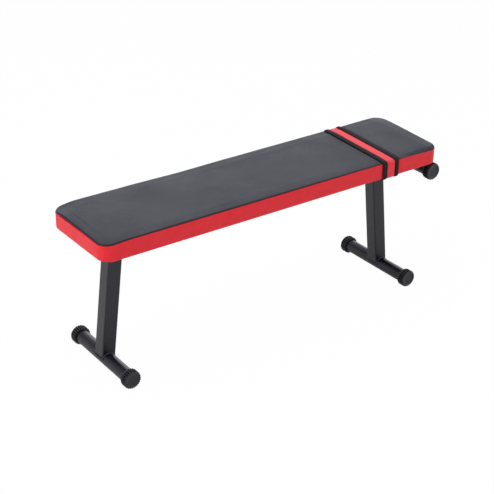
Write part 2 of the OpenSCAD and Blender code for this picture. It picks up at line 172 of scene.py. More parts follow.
def vinyl(name, dark, light, rough, grain_mm, depth, **extra):
    """Coated cloth with a fine leather grain, a soft mottle and slightly uneven gloss."""
    material, n = new_material(name)
    warp = n.noise(120)
    warp = n.add("ShaderNodeCombineXYZ", {"X": warp, "Y": warp, "Z": warp}).outputs[0]
    warp = n.add("ShaderNodeVectorMath", {0: warp, "Scale": 1.5 * MM}, operation="SCALE").outputs[0]
    place = n.add("ShaderNodeVectorMath", {0: n.coords(), 1: warp}, operation="ADD").outputs[0]
    pores = n.span(n.cell_edges(1 / (grain_mm * MM), place), 0, 1, 0.0, 0.22)
    fine = n.noise(3000, 3, 0.6)
    height = n.math("ADD", pores, n.math("MULTIPLY", fine, 0.35))
    n.finish(Base_Color=n.shades(n.noise(38, 4, 0.6), dark, light),
             Roughness=n.around(n.noise(9, 3, 0.6), rough, 0.04),
             Normal=n.bump(height, depth), **extra)
    return material


PICK_MM = 1.6            # spacing of the picks in a webbing's weave


def webbing(name, dark, light, rough, **extra):
    """Woven narrow strip. Its UV map holds millimetres along and across the strip."""
    material, n = new_material(name)
    uv = n.add("ShaderNodeSeparateXYZ", {0: n.add("ShaderNodeTexCoord").outputs["UV"]})
    turns = 2 * math.pi / PICK_MM
    along = n.math("SINE", n.math("MULTIPLY", uv.outputs["X"], turns))
    across = n.math("SINE", n.math("MULTIPLY", uv.outputs["Y"], turns * 0.7))
    weave = n.span(n.math("MULTIPLY", along, across), 0, 1, -1, 1)
    fuzz = n.noise(2500, 2, 0.6)
    height = n.math("ADD", weave, n.math("MULTIPLY", fuzz, 0.3))
    n.finish(Base_Color=n.blend(n.span(n.math("ADD", weave, fuzz), 0, 1, 0.5, 1.5), dark, light),
             Roughness=rough, Sheen_Roughness=0.3, Normal=n.bump(height, 0.16 * MM), **extra)
    return material


def paint(name, colour, rough):
    """Powder coat: a faint orange peel over an even satin black."""
    material, n = new_material(name)
    peel = n.noise(700)
    drift = n.noise(14, 4, 0.6)
    specks = n.span(n.noise(1800, 2, 0.7), 0, 1, 0.62, 0.8)
    dark = tuple(c * 0.85 for c in colour)
    n.finish(Base_Color=n.shades(drift, dark, colour),
             Roughness=n.math("ADD", n.around(drift, rough, 0.04),
                              n.math("MULTIPLY", specks, 0.08)),
             Normal=n.bump(peel, 0.08 * MM), Specular_IOR_Level=0.46)
    return material


def moulded(name, colour, rough, texture_mm=0.5, **extra):
    """Moulded plastic or rubber with a sparked, matt texture."""
    material, n = new_material(name)
    grain = n.noise(1 / (texture_mm * MM), 3, 0.65)
    bloom = n.noise(25, 3, 0.6)
    light = tuple(min(1, c * 1.25 + 0.002) for c in colour)
    n.finish(Base_Color=n.blend(n.span(bloom, 0, 1, 0.3, 0.75), colour, light),
             Roughness=n.around(bloom, rough, 0.05), Normal=n.bump(grain, 0.07 * MM), **extra)
    return material


def metal(name, colour, rough):
    """Plated or turned metal: fine tool marks and a cloudy passivated film."""
    material, n = new_material(name)
    marks = n.noise(900, 3, 0.6)
    cloud = n.noise(70, 4, 0.65)
    dark = tuple(c * 0.82 for c in colour)
    n.finish(Base_Color=n.shades(cloud, dark, colour), Metallic=1.0,
             Roughness=n.around(cloud, rough, 0.07), Normal=n.bump(marks, 0.03 * MM))
    return material


def plywood():
    """Sanded veneer: long grain along X, with pores and slow colour bands."""
    material, n = new_material("plywood")
    long = n.coords((1.2, 16, 16))
    bands = n.noise(7, 4, 0.6, vector=long)
    grain = n.noise(40, 5, 0.65, vector=long)
    pores = n.noise(150, 2, 0.7, vector=n.coords((0.9, 9, 9)))
    tone = n.math("ADD", n.math("MULTIPLY", bands, 0.6), n.math("MULTIPLY", grain, 0.4))
    tone = n.span(tone, 0, 1, 0.36, 0.64)
    n.finish(Base_Color=n.blend(tone, (0.40, 0.25, 0.13), (0.68, 0.50, 0.31)),
             Roughness=n.span(grain, 0.62, 0.78),
             Normal=n.bump(n.math("ADD", grain, pores), 0.15 * MM))
    return material


SLOTS = {
    "plywood": plywood(),
    "foam": moulded("foam", (0.80, 0.76, 0.60), rough=0.9, texture_mm=1.5),
    "black_vinyl": vinyl("black_vinyl", (0.004, 0.005, 0.009), (0.008, 0.010, 0.016),
                         rough=0.46, grain_mm=1.5, depth=0.12 * MM, Specular_IOR_Level=0.27),
    "red_vinyl": vinyl("red_vinyl", (0.69, 0.001, 0.010), (0.77, 0.004, 0.018),
                       rough=0.45, grain_mm=1.3, depth=0.10 * MM, Specular_IOR_Level=0.42),
    "red_webbing": webbing("red_webbing", (0.68, 0.004, 0.012), (0.81, 0.012, 0.028),
                           rough=0.5, Sheen_Weight=0.12, Specular_IOR_Level=0.6),
    "black_webbing": webbing("black_webbing", (0.014, 0.014, 0.015), (0.028, 0.028, 0.030),
                             rough=0.6, Sheen_Weight=0.0, Specular_IOR_Level=0.03),
    "black_paint": paint("black_paint", (0.002, 0.002, 0.008), rough=0.34),
    "black_plastic": moulded("black_plastic", (0.012, 0.012, 0.013), rough=0.5),
    "cap_rubber": moulded("cap_rubber", (0.004, 0.004, 0.006), rough=0.38, texture_mm=0.6,
                          Specular_IOR_Level=0.42),
    "zinc_steel": metal("zinc_steel", (0.66, 0.66, 0.63), rough=0.32),
    "brass": metal("brass", (0.74, 0.56, 0.27), rough=0.28),
    "nylon": moulded("nylon", (0.72, 0.72, 0.68), rough=0.42, texture_mm=0.8),
}


def dress_cad_nodes():
    """Gives every CAD node the procedural material of its slot in the record."""
    for part in frame["record"]["subparts"]:
        node = frame["nodes"][part["node"]]
        material = SLOTS[part["material_slot"]]
        if not node.material_slots:
            node.data.materials.append(material)
        for slot in node.material_slots:
            slot.material = material


dress_cad_nodes()


# ---------- meshes ----------

def add_piece(name, verts, faces, slot, body="frame", uvs=None, smooth=True):
    """A mesh in millimetres as a piece that rides on a CAD body."""
    mesh = bpy.data.meshes.new(name)
    mesh.from_pydata((np.asarray(verts) * MM).tolist(), [],
                     [tuple(int(i) for i in f) for f in faces])
    if uvs is not None:
        layer = mesh.uv_layers.new(name="UVMap")
        corners = np.empty(len(mesh.loops), dtype=np.int32)
        mesh.loops.foreach_get("vertex_index", corners)
        layer.data.foreach_set("uv", np.asarray(uvs, dtype=np.float32)[corners].ravel())
    mesh.polygons.foreach_set("use_smooth", [smooth] * len(mesh.polygons))
    mesh.materials.append(SLOTS[slot])
    piece = new_object(name, mesh)
    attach(piece, body)
    return piece


def subdivide(piece):
    """Replaces the piece's mesh by its subdivision surface."""
    modifier = piece.modifiers.new("smooth", "SUBSURF")
    modifier.levels = modifier.render_levels = 1
    evaluated = piece.evaluated_get(bpy.context.evaluated_depsgraph_get())
    made = bpy.data.meshes.new_from_object(evaluated)
    piece.modifiers.clear()
    old, piece.data = piece.data, made
    made.name = old.name
    bpy.data.meshes.remove(old)
    return piece


def close_holes(piece):
    """Caps the piece's open, flat rim with one face."""
    work = bmesh.new()
    work.from_mesh(piece.data)
    bmesh.ops.holes_fill(work, edges=[e for e in work.edges if e.is_boundary], sides=0)
    work.to_mesh(piece.data)
    work.free()
    return piece


# ---------- pad ----------

top_low, top_high = box("top_cover")
side_low, side_high = box("side_cover")
board_low, board_high = box("pad_board")
PAD_MID = (side_low + side_high) / 2
HALF_L, HALF_W = ((side_high - side_low) / 2)[:2]
PAD_Z, SEAM_Z, TOP_Z = side_low[2], top_low[2], top_high[2]
BAND_START, BAND_END = box("band_edge_near_end")[0][0], box("band_edge_far_end")[1][0]
BAND_X, BAND_HALF = (BAND_START + BAND_END) / 2, (BAND_END - BAND_START) / 2
CORNER_R = 31
BOTTOM_R = 6
EDGE_R = 3.5
LAP = 25
COVER_T = 1.1
ARC_STEPS = 8            # per eighth of a turn
CROSS_STEPS = 18         # along a short straight side
COARSE, FINE = 9.5, 2.2  # spacing of the rings' points along the pad, and beside the band
FINE_TO, COARSE_FROM = 9, 31    # how far from the band's edges each spacing reaches


def long_shares():
    """Where the points of a long straight side lie, from its near end to its far end, as shares
    of its length: close together beside the band's two edges."""
    half = HALF_L - CORNER_R
    places = np.linspace(-half, half, 4001)     # fine enough to sum the spacing over
    off = np.minimum(np.abs(places + PAD_MID[0] - BAND_START),
                     np.abs(places + PAD_MID[0] - BAND_END))
    growth = np.clip((off - FINE_TO) / (COARSE_FROM - FINE_TO), 0, 1)
    spacing = FINE + (COARSE - FINE) * growth
    run = np.concatenate([[0], np.cumsum(np.diff(places) / spacing[1:])])
    count = round(run[-1])
    at = np.interp(np.arange(count) / count * run[-1], run, places)
    return (at + half) / (2 * half)


LONG = long_shares()
CROSS = np.arange(CROSS_STEPS) / CROSS_STEPS
SIDE_STEPS = (2 * ARC_STEPS + len(LONG), 2 * ARC_STEPS + len(CROSS))


def pad_outline():
    """Points and outward normals round the pad's plan. Each side runs from one corner's middle
    to the next: front, right, back, left."""
    x, y = HALF_L - CORNER_R, HALF_W - CORNER_R
    corners = [(-x, -y), (x, -y), (x, y), (-x, y)]
    long_back = np.concatenate([[0], (1 - LONG[1:])[::-1]])
    points, normals = [], []
    for side, shares in enumerate((LONG, CROSS, long_back, CROSS)):
        start, end = np.array(corners[side]), np.array(corners[(side + 1) % 4])
        eighth = math.pi / 4
        arc = eighth * np.arange(ARC_STEPS) / ARC_STEPS
        turns = [(a, start) for a in arc]
        turns += [(eighth, start + (end - start) * share) for share in shares]
        turns += [(eighth + a, end) for a in arc]
        for a, centre in turns:
            a += math.radians(225 + 90 * side)
            n = np.array((math.cos(a), math.sin(a)))
            points.append(centre + CORNER_R * n)
            normals.append(n)
    return np.array(points), np.array(normals)


OUTLINE, OUTWARD = pad_outline()
RING = len(OUTLINE)


def ring(inset, z):
    """A ring of the pad's surface, in from its plan outline."""
    plan = OUTLINE - inset * OUTWARD + PAD_MID[:2]
    return np.column_stack([plan, np.full(RING, float(z))])


def fill_patch(edge):
    """Grid points inside a ring by transfinite interpolation, and the grid's vertex numbers, which
    count on from the ring's own."""
    along, across = SIDE_STEPS
    front = edge[:along + 1]
    right = edge[along:along + across + 1]
    back = edge[along + across:2 * along + across + 1][::-1]
    left = np.concatenate([edge[2 * along + across:], edge[:1]])[::-1]
    u = np.linalg.norm(np.diff(front, axis=0), axis=1).cumsum()
    u = np.concatenate([[0], u / u[-1]])[:, None, None]
    v = np.linalg.norm(np.diff(right, axis=0), axis=1).cumsum()
    v = np.concatenate([[0], v / v[-1]])[None, :, None]
    grid = ((1 - v) * front[:, None] + v * back[:, None] + (1 - u) * left[None] + u * right[None]
            - (1 - u) * (1 - v) * front[0] - u * (1 - v) * front[-1]
            - (1 - u) * v * back[0] - u * v * back[-1])
    numbers = np.full((along + 1, across + 1), -1)
    numbers[:, 0] = np.arange(along + 1)
    numbers[-1, :] = along + np.arange(across + 1)
    numbers[:, -1] = (along + across + np.arange(along + 1))[::-1]
    numbers[0, 1:] = (2 * along + across + np.arange(across))[::-1]
    inner = grid[1:-1, 1:-1].reshape(-1, 3)
    numbers[1:-1, 1:-1] = RING + np.arange(len(inner)).reshape(along - 1, across - 1)
    return inner, numbers


def ring_faces(first, second):
    """Quads between two rings, given the number of each ring's first vertex."""
    i = np.arange(RING)
    j = (i + 1) % RING
    return np.column_stack([first + i, first + j, second + j, second + i]).tolist()


def grid_faces(numbers):
    return np.stack([numbers[:-1, :-1], numbers[1:, :-1], numbers[1:, 1:], numbers[:-1, 1:]],
                    axis=-1).reshape(-1, 4).tolist()


def lower_arc(radius, degrees):
    """Inset and height of points round the pad's lower edge, at a radius about its own centre."""
    return [(BOTTOM_R - radius * math.sin(t), PAD_Z + BOTTOM_R - radius * math.cos(t))
            for t in np.radians(degrees)]


# The outer surface from the lap's inner edge, round the lower edge and up the side to the seam,
# then over the upper edge: inset from the plan outline, and height
LOWER = [(LAP, PAD_Z), (20, PAD_Z), (15, PAD_Z), (10.5, PAD_Z)]
LAP_END = len(LOWER) - 1
LOWER += lower_arc(BOTTOM_R, [0, 25, 50, 70, 90])
SIDE_START = len(LOWER) - 1
LOWER += [(0, z) for z in np.linspace(PAD_Z + 10, SEAM_Z - 6.5, 7)]
SIDE_END = len(LOWER) - 1
LOWER += [(-0.15, SEAM_Z - 4.2), (-0.6, SEAM_Z - 2.4), (-0.7, SEAM_Z - 1.2), (-0.2, SEAM_Z - 0.3)]
SEAM = (2.6, SEAM_Z + 0.2)
RISE = TOP_Z - SEAM_Z - 1.2
EDGE_Z = 1.7             # height of the panel's fullest line over the seam
UPPER = [(1.3, SEAM_Z + 0.5), (0.35, SEAM_Z + 1.1)]
UPPER += [(EDGE_R * (1 - math.cos(t)), SEAM_Z + EDGE_Z + (RISE - EDGE_Z) * math.sin(t))
          for t in np.radians([0, 22, 40, 56, 70, 82])]
UPPER += [(12, SEAM_Z + RISE), (18, SEAM_Z + RISE), (26, SEAM_Z + RISE)]
PROFILE = LOWER + [SEAM] + UPPER
SEAM_AT = len(LOWER)
PANEL_START = SEAM_AT + 3       # the first ring clear of the seam's groove
PROFILE_COUNT = len(PROFILE) * RING

TOP_PUFF, SIDE_PUFF = 1.2, 1.6  # the most that the padding pushes the cover out
SIDEWAYS = 0.3           # how much of the top's sideways moves is kept
EVEN_ROUNDS = 40         # how often the moves are averaged
OWN_SHARE = 0.4          # the share of its own move that a point keeps each time
PLAIN_FULL = 0.8         # the padding's thickness at the plain end, as a share of the banded end's
LIFT = 5.0               # its extra height along the back at the banded end, lost along the front
PLAIN_LIFT = 0.42        # the share of that at the plain end
END_LIFT = 0.12          # its share of extra height over the whole banded end
CORNER_SINK = 0.6        # its share of lost height at the back corner of the plain end
FRONT_CORNER = 0.25      # the share of that at the front corner
BACK_CORNER_SINK = 0.25  # its share of lost height at the back corner of the banded end
FRONT_SLOPE = 0.8        # how far it slopes down to its front edge
FRONT_GROWTH = 0.8       # the share by which that grows to the banded end
PLAIN_SLOPE = 0.8        # how far it slopes down to its plain end
FRONT_DIP = 0.3          # its share of lost height at the front of the banded end
BACK_DIP = 0.18          # its share of lost height in a shallow dent along the back
SEAM_SINK = (1.2, 2.0)   # how much lower the seam lies at the plain and at the banded end
CORNER_SEAM_SINK = 1.4   # and how much more at the front corner of the plain end
DROOP = 0.8              # how far the side cover hangs below the board at the banded end
END_DROOP = 0.6          # how much more at the plain end
SIDE_DROOP = (1.6, 0.9)  # how much more half way along the sides, and its fall from there on
CORNER_TIGHT = 2.4       # how tightly the plain end's corners hold it up
END_STAND = 0.6          # how far it stands off the pad at the plain end
WAVES = (60, 45, 60)     # lengths of the cover's faint waves
TOP_WAVE, SIDE_WAVE = 0.35, 0.25    # and their heights
PRESS, SIDE_PRESS = 3.6, 1.2    # how far the band sinks into the top and into the side
PRESSED_R = 13           # the radius to which it rounds the top's front edge
PULL_REACH, PULL_BLEND = 4.5, 5.5   # how far past its edges it pulls, and over what width
PULL_SHIFT = 1           # how far its pull is off its middle, toward the plain end


def smooth(t):
    t = np.clip(t, 0, 1)
    return t * t * (3 - 2 * t)


def past(share, start, end):
    """Grows smoothly from 0 at the start to 1 at the end."""
    return smooth((share - start) / (end - start))


def as_shares(points):
    """Where points lie along and across the pad, as shares of its half length and half width."""
    return ((points[:, :2] - PAD_MID[:2]) / (HALF_L, HALF_W)).T


def near_corner(along, across, end, side, reach):
    """Falls smoothly from 1 at the pad's corner at the given end and side to 0 at its reach."""
    return smooth(1 - np.hypot(HALF_L * (along - end), HALF_W * (across - side)) / reach)


def settle(points):
    """Lowers the seam toward the pad's two ends, and what is near it with it."""
    along, across = as_shares(points)
    z = points[:, 2]
    low, high = board_high[2] + 1, TOP_Z + 1
    part = np.clip(np.minimum((z - low) / (SEAM_Z - low), (high - z) / (high - SEAM_Z)), 0, 1)
    sink = SEAM_SINK[0] * past(-along, 0.88, 0.96) + SEAM_SINK[1] * past(along, 0.74, 0.9)
    sink += CORNER_SEAM_SINK * near_corner(along, across, -1, -1, reach=90)
    points[:, 2] -= part * sink


def band_pull(points):
    """How much of the band's pull each point feels."""
    off = np.abs(points[:, 0] - BAND_X + PULL_SHIFT) - BAND_HALF
    return smooth((PULL_REACH - off) / PULL_BLEND)


def press_edge(points, inset):
    """Rounds the front edge under the band, for points inset from the cover's outer face."""
    y = np.maximum(-points[:, 1] - (HALF_W - SIDE_PRESS - PRESSED_R), 0)
    z = np.maximum(points[:, 2] - (TOP_Z - PRESS - PRESSED_R), 0)
    radius = PRESSED_R - inset
    excess = 1 - radius / np.maximum(np.hypot(y, z), radius)
    excess *= band_pull(points) * (y > 0) * (z > 0)
    points[:, 1] += y * excess
    points[:, 2] -= z * excess


def rings_and_patch(parts, inner, numbers):
    """Vertices and faces of a stack of rings with the pad's patch inside the last one."""
    verts = np.concatenate(parts + [inner])
    faces = [f for k in range(len(parts) - 1) for f in ring_faces(k * RING, (k + 1) * RING)]
    return verts, faces + grid_faces(numbers + (len(parts) - 1) * RING)


def puff(verts, faces, free):
    """Inflates the closed cover as cloth with its seam and lap held, and returns the vertices."""
    steps = 20
    mesh = bpy.data.meshes.new("puff")
    mesh.from_pydata((verts * MM).tolist(), [], faces)
    dummy = new_object("puff", mesh)
    held = dummy.vertex_groups.new(name="held")
    for weight in np.unique(free):
        held.add(np.nonzero(free == weight)[0].tolist(), float(1 - weight), "REPLACE")
    cloth = dummy.modifiers.new("cloth", "CLOTH")
    cloth.settings.quality = 6
    cloth.settings.mass = 0.5
    cloth.settings.tension_stiffness = cloth.settings.compression_stiffness = 40
    cloth.settings.shear_stiffness = 12
    cloth.settings.bending_stiffness = 3
    cloth.settings.use_pressure = True
    cloth.settings.uniform_pressure_force = 4
    cloth.settings.vertex_group_mass = "held"
    cloth.settings.effector_weights.gravity = 0
    cloth.collision_settings.use_collision = False
    cloth.point_cache.frame_start, cloth.point_cache.frame_end = 1, steps
    for step in range(1, steps + 1):
        scene.frame_set(step)
    done = dummy.evaluated_get(bpy.context.evaluated_depsgraph_get()).to_mesh()
    out = np.empty(len(verts) * 3)
    done.vertices.foreach_get("co", out)
    out = out.reshape(-1, 3) / MM
    bpy.data.objects.remove(dummy)
    scene.frame_set(1)
    return out


def even_out(moved, faces, fixed):
    """Averages every vertex's move with its neighbours', apart from the fixed ones."""
    faces = np.array(faces)
    edges = np.concatenate([faces[:, [k, (k + 1) % 4]] for k in range(4)])
    edges = np.unique(np.sort(edges, axis=1), axis=0)
    degree = np.bincount(edges.ravel(), minlength=len(moved))[:, None]
    for _ in range(EVEN_ROUNDS):
        total = np.zeros_like(moved)
        np.add.at(total, edges[:, 0], moved[edges[:, 1]])
        np.add.at(total, edges[:, 1], moved[edges[:, 0]])
        evened = OWN_SHARE * moved + (1 - OWN_SHARE) * total / np.maximum(degree, 1)
        moved = np.where(fixed[:, None], moved, evened)
    return moved


def soft_cap(moved, cap):
    """Shortens moves so that none is longer than cap, smoothly."""
    length = np.linalg.norm(moved, axis=1)[:, None]
    return moved * cap * np.tanh(length / cap) / np.maximum(length, 1e-9)


def swell(verts, faces, ring_no):
    """Pushes the cover out as its padding does, with its lap, lower edge and seam held."""
    free = np.ones(len(verts))
    free[ring_no <= SIDE_START] = 0
    free[ring_no == SEAM_AT] = 0
    free[ring_no == SEAM_AT - 1] = 0.3      # just under the seam
    moved = puff(verts, faces, free) - verts
    top = ring_no > SEAM_AT
    moved[top] = soft_cap(moved[top], TOP_PUFF)
    moved[~top] = soft_cap(moved[~top], SIDE_PUFF)
    moved[top, :2] *= SIDEWAYS
    return verts + even_out(moved, faces, free == 0)


def fullness(along, across):
    """Height of the padding over the seam, as a share of an even pad's: it is fuller toward the
    banded end and along the back, and flatter along the front."""
    grown = past(along, -0.45, 1)
    full = PLAIN_FULL + (1 - PLAIN_FULL) * grown
    full += LIFT * (PLAIN_LIFT + (1 - PLAIN_LIFT) * grown) * across / RISE
    full += END_LIFT * past(along, 0.8, 0.95)
    corner_sink = CORNER_SINK * (FRONT_CORNER + (1 - FRONT_CORNER) * past(across, -0.5, 0.5))
    full *= 1 - corner_sink * near_corner(along, np.abs(across), -1, 1, reach=70)
    full -= BACK_CORNER_SINK * near_corner(along, across, 1, 1, reach=60)
    full -= FRONT_SLOPE * (1 + FRONT_GROWTH * grown) / RISE * past(-across, 0.84, 1.02)
    full -= PLAIN_SLOPE / RISE * past(-along, 0.95, 1)
    full -= FRONT_DIP * past(along, 0.72, 0.82) * past(-across, 0.88, 1.02)
    return full - BACK_DIP * np.maximum(across, 0) * np.exp(-(HALF_L * (along + 0.3) / 70) ** 2)


def hang(verts, ring_no, along):
    """Lets the side cover hang a little below the board's lower face, most along the front and
    back, and stand off it a little at the plain end."""
    to_side, to_plain_end = np.zeros(len(verts)), np.zeros(len(verts))
    to_side[:PROFILE_COUNT] = np.tile(np.abs(OUTWARD[:, 1]), len(PROFILE))
    to_plain_end[:PROFILE_COUNT] = np.tile(np.maximum(-OUTWARD[:, 0], 0), len(PROFILE))
    droop = DROOP + END_DROOP * to_plain_end ** 2
    droop += to_side ** 2 * (SIDE_DROOP[0] - SIDE_DROOP[1] * along)
    droop *= 1 - CORNER_TIGHT * to_plain_end ** 2 * to_side ** 2
    verts[:, 2] -= droop * np.interp(ring_no, [0, LAP_END, SIDE_START, SIDE_END, SIDE_END + 1],
                                     [0.3, 0.9, 1, 0.1, 0])
    verts[:, 0] -= END_STAND * to_plain_end * np.interp(
        ring_no, [LAP_END, SIDE_START, SEAM_AT - 1, SEAM_AT], [0, 1, 1, 0])


def ruffle(verts, ring_no):
    """Faint waves, since a hand-pulled cover is never quite even."""
    for i, v in enumerate(verts):
        if ring_no[i] > SIDE_START + 1:
            wave = noise.noise(Vector(v / WAVES))
            if ring_no[i] >= PANEL_START:
                verts[i, 2] += TOP_WAVE * wave
            else:
                verts[i, :2] += SIDE_WAVE * wave * OUTWARD[i % RING]


def press_band(verts, ring_no):
    """Presses the band's groove into the cover."""
    pull = band_pull(verts)
    on_top = ring_no >= PANEL_START
    verts[on_top, 2] -= PRESS * pull[on_top]
    on_side = (ring_no > SIDE_START + 1) & ~on_top
    verts[on_side, 1] -= np.sign(verts[on_side, 1]) * SIDE_PRESS * pull[on_side]
    press_edge(verts, 0)


def shape_cushion():
    """The pad's whole outer surface: its vertices, ring by ring and then inside the last ring,
    and the vertex numbers of its top patch."""
    parts = [ring(*place) for place in PROFILE]
    inner, numbers = fill_patch(parts[-1])
    verts, faces = rings_and_patch(parts, inner, numbers)
    ring_no = np.minimum(np.arange(len(verts)) // RING, len(PROFILE))
    verts = swell(verts, faces, ring_no)
    along, across = as_shares(verts)
    top = ring_no > SEAM_AT
    verts[top, 2] = SEAM_Z + ((verts[:, 2] - SEAM_Z) * fullness(along, across))[top]
    hang(verts, ring_no, along)
    settle(verts)
    ruffle(verts, ring_no)
    press_band(verts, ring_no)
    return verts, numbers


surface, patch = shape_cushion()
rings = [surface[k * RING:(k + 1) * RING] for k in range(len(PROFILE))]
patch_points = surface[PROFILE_COUNT:]

TOP_TUCK, BORDER_TUCK = 3, 2    # how far inside the cover the two pieces' hidden rings lie
PLEATS = 7               # folds of the lap round each corner
PLEAT_DEPTHS = (1.3, 1.5, 1.2, 0.6)     # on the lap's rings, from its inner edge


def top_cushion():
    """Black top: the crowned panel over its foam, closed on the board."""
    hidden = [ring(3.2, board_high[2] + 0.3), ring(3.2, SEAM_Z - 4), ring(3.0, SEAM_Z - 0.8)]
    for part in hidden:
        settle(part)
        press_edge(part, TOP_TUCK)
    verts, faces = rings_and_patch(hidden + rings[SEAM_AT:], patch_points, patch)
    piece = close_holes(subdivide(add_piece("top_cushion", verts, faces, "black_vinyl")))
    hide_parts("top_cover", "pad_foam")
    return piece


def side_border():
    """Red border: side panel with its lap under the board, closed by its own back."""
    outer = [r.copy() for r in rings[:SEAM_AT + 1]]
    turn = np.arctan2(OUTWARD[:, 1], OUTWARD[:, 0])
    in_corner = np.clip(np.abs(np.sin(2 * turn)) * 2.2, 0, 1)
    pleat = in_corner * (0.5 + 0.5 * np.cos(turn * 4 * PLEATS)) ** 1.5
    for k, depth in enumerate(PLEAT_DEPTHS):
        outer[k][:, 2] -= depth * pleat
    back = [(inset, board_low[2] - 0.1) for inset in (LAP, 15, 9)]
    back += lower_arc(BOTTOM_R - COVER_T, [0, 30, 60, 90])
    back += [(COVER_T, z) for z in (PAD_Z + 20, SEAM_Z - 12, SEAM_Z - 4)]
    back += [(2.0, SEAM_Z - 1.0)]
    back = [ring(*place) for place in back]
    for part in back:
        settle(part)
        press_edge(part, BORDER_TUCK)
    parts = back[::-1] + outer
    verts = np.concatenate(parts)
    faces = [f for k in range(len(parts))
             for f in ring_faces(k * RING, (k + 1) % len(parts) * RING)]
    piece = subdivide(add_piece("side_border", verts, faces, "red_vinyl"))
    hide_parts("side_cover")
    return piece


top_piece = top_cushion()
side_piece = side_border()


# ---------- band ----------

FRONT_TOP, FRONT_R = TOP_Z - 8.5, 9     # the section's height and rounding along the front
STRIP_LAP = 20           # how far in under the pad the strips reach
RAY_FROM, RAY_LENGTH = 12, 30           # where the pad's surface is looked for from outside
TAUT = 5.0               # the length over which a taut strip evens the surface out
STRIP_SUNK = 1.1         # how far a strip's lower face lies under the plain section
TOP_FULLER = 0.5         # the strips' extra share of thickness on the top


def side_path(side, top_z, radius):
    """One side of the pad's section in Y and Z, from the lap to the middle: points and normals."""
    lap = np.linspace(HALF_W - STRIP_LAP, HALF_W - BOTTOM_R, 4)[:-1]
    path = [((side * y, PAD_Z), (0, -1)) for y in lap]
    for t in np.radians(np.linspace(0, 90, 9)):
        n = (side * math.sin(t), -math.cos(t))
        path.append(((side * (HALF_W - BOTTOM_R) + BOTTOM_R * n[0],
                      PAD_Z + BOTTOM_R + BOTTOM_R * n[1]), n))
    heights = np.linspace(PAD_Z + BOTTOM_R, top_z - radius, 12)[1:-1]
    path += [((side * HALF_W, z), (side, 0)) for z in heights]
    for t in np.radians(np.linspace(0, 90, 13)):
        n = (side * math.cos(t), math.sin(t))
        path.append(((side * (HALF_W - radius) + radius * n[0], top_z - radius + radius * n[1]), n))
    for share in np.linspace(1, 0, 23)[1:]:
        z = top_z * share + (TOP_Z - PRESS) * (1 - share)
        path.append(((side * (HALF_W - radius) * share, z), (0, 1)))
    return path


def section_path():
    """The whole section from the front's lap to the back's, lower along the front, as the top."""
    path = side_path(-1, FRONT_TOP, FRONT_R) + side_path(1, TOP_Z, EDGE_R)[-2::-1]
    return [(np.array(p), np.array(n)) for p, n in path]


def surface_tree(*pieces):
    verts, faces = [], []
    for piece in pieces:
        base = len(verts)
        verts += [v.co.copy() for v in piece.data.vertices]
        faces += [[base + i for i in f.vertices] for f in piece.data.polygons]
    return BVHTree.FromPolygons(verts, faces)


PAD_TREE = surface_tree(top_piece, side_piece)
SECTION = section_path()
SECTION_RUN = np.array([0] + [np.linalg.norm(SECTION[i + 1][0] - SECTION[i][0])
                              for i in range(len(SECTION) - 1)]).cumsum()


def lie_of_strip(x):
    """How far the pad's surface stands off the plain section at x, as a taut strip evens it."""
    off = []
    for p, n in SECTION:
        start = Vector((x, *(p + RAY_FROM * n))) * MM
        hit = PAD_TREE.ray_cast(start, Vector((0, *(-n))), RAY_LENGTH * MM)[0]
        off.append(RAY_FROM - (start - hit).length / MM if hit else 0.0)
    off = np.array(off)
    weights = np.exp(-((SECTION_RUN[:, None] - SECTION_RUN[None]) / TAUT) ** 2)
    return np.maximum((weights * off).sum(axis=1) / weights.sum(axis=1), off)


def strip(name, node, slot, x_low, x_high, section):
    """A strip round the pad with the given cross-section: (share of width, height) pairs."""
    shares, rises = np.array(section).T
    columns = x_low + (x_high - x_low) * shares
    off = [lie_of_strip(x) for x in columns]
    verts, uvs = [], []
    for i, (p, n) in enumerate(SECTION):
        fuller = 1 + TOP_FULLER * max(n[1], 0)
        outer = [(x, p + (off[k][i] + rises[k] * fuller) * n) for k, x in enumerate(columns)]
        for x, (y, z) in outer + [(x, p - STRIP_SUNK * n) for x in (x_high, x_low)]:
            verts.append((x, y, z))
            uvs.append((SECTION_RUN[i], x - x_low))
    wide = len(columns) + 2
    faces = []
    for i in range(len(SECTION) - 1):
        for k in range(wide):
            a, b = i * wide + k, i * wide + (k + 1) % wide
            faces.append((a, b, b + wide, a + wide))
    faces.append(tuple(range(wide))[::-1])
    faces.append(tuple((len(SECTION) - 1) * wide + k for k in range(wide)))
    piece = subdivide(add_piece(name, verts, faces, slot, uvs=uvs))
    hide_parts(node)
    return piece


def both_halves(half):
    """A strip's cross-section from its first half: shares of its width and of its height."""
    return half + [(1 - share, height) for share, height in half[-2::-1]]


DOME = both_halves([(0.07, -0.3), (0.01, 0.3), (0.0, 0.55), (0.035, 0.8), (0.12, 0.93),
                    (0.28, 0.99), (0.5, 1.0)])
SLAB = both_halves([(0.0, -0.3), (0.0, 0.5), (0.02, 0.85), (0.06, 0.97), (0.2, 1.0), (0.5, 1.02)])

# Each strip with its CAD node, slot and section, and how far it stays inside the node's two edges
for name, node, slot, section, low_trim, high_trim in (
        ("near_edge_strip", "band_edge_near_end", "black_webbing", DOME, 0.0, 1.0),
        ("far_edge_strip", "band_edge_far_end", "black_webbing", DOME, 2.3, 2.4),
        ("middle_strip", "band_middle", "red_webbing", SLAB, -0.5, -0.5)):
    low, high = box(node)
    rise = high[2] - TOP_Z + SIDE_PRESS     # over the pressed cover
    strip(name, node, slot, low[0] + low_trim, high[0] - high_trim,
          [(share, height * rise) for share, height in section])


# ---------- staples that hold the lap ----------

